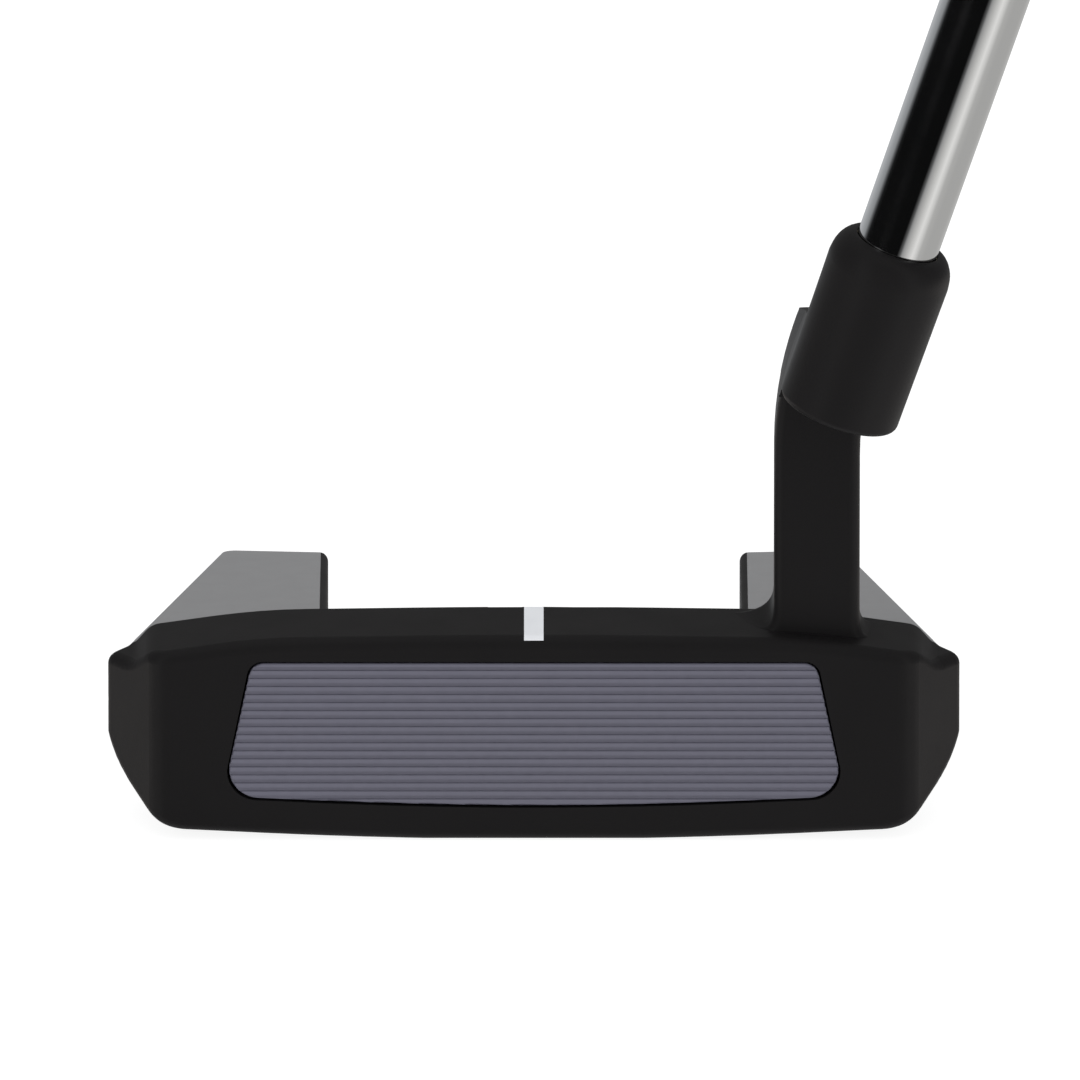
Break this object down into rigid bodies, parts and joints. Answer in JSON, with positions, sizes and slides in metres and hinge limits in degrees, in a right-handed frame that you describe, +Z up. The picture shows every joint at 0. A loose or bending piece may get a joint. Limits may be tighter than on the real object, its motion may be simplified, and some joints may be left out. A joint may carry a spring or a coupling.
{
  "type": "mallet putter",
  "caption": "Right-handed mallet golf putter: face bar with two rear wings, grooved face insert, crank neck, stepped steel shaft and pistol grip.",
  "frame": {"origin": "middle of the flat patch that the sole rests on, on the ground", "axes": "+Z up, +X towards the heel and the player, +Y from the strike face to the back of the head"},
  "size_m": [0.3538, 0.0742, 0.8227],
  "materials": {
    "head_black": "satin black coating over a zinc alloy casting",
    "insert_grey": "matt milled polymer",
    "adhesive": "soft double-sided pad",
    "line_white": "white enamel fill",
    "wing_grey": "flat grey enamel fill",
    "weight_steel": "turned stainless steel",
    "washer_nylon": "moulded nylon",
    "shaft_chrome": "bright chrome plate over steel tube",
    "epoxy": "cured resin",
    "plug_plastic": "moulded",
    "tape_paper": "crepe paper tape",
    "grip_rubber": "moulded rubber with a fine pattern",
    "cap_rubber": "smooth moulded rubber"
  },
  "bodies": {
    "root": {"putter_head": "head_black", "face_insert": "insert_grey", "insert_adhesive_pad": "adhesive", "topline_sight_line": "line_white", "deck_sight_line": "line_white", "toe_wing_inlay": "wing_grey", "heel_wing_inlay": "wing_grey", "toe_sole_weight": "weight_steel", "heel_sole_weight": "weight_steel", "toe_weight_washer": "washer_nylon", "heel_weight_washer": "washer_nylon", "shaft": "shaft_chrome", "hosel_epoxy": "epoxy", "shaft_tip_plug": "plug_plastic", "grip_tape": "tape_paper", "grip": "grip_rubber", "grip_end_cap": "cap_rubber"}
  },
  "joints": []
}
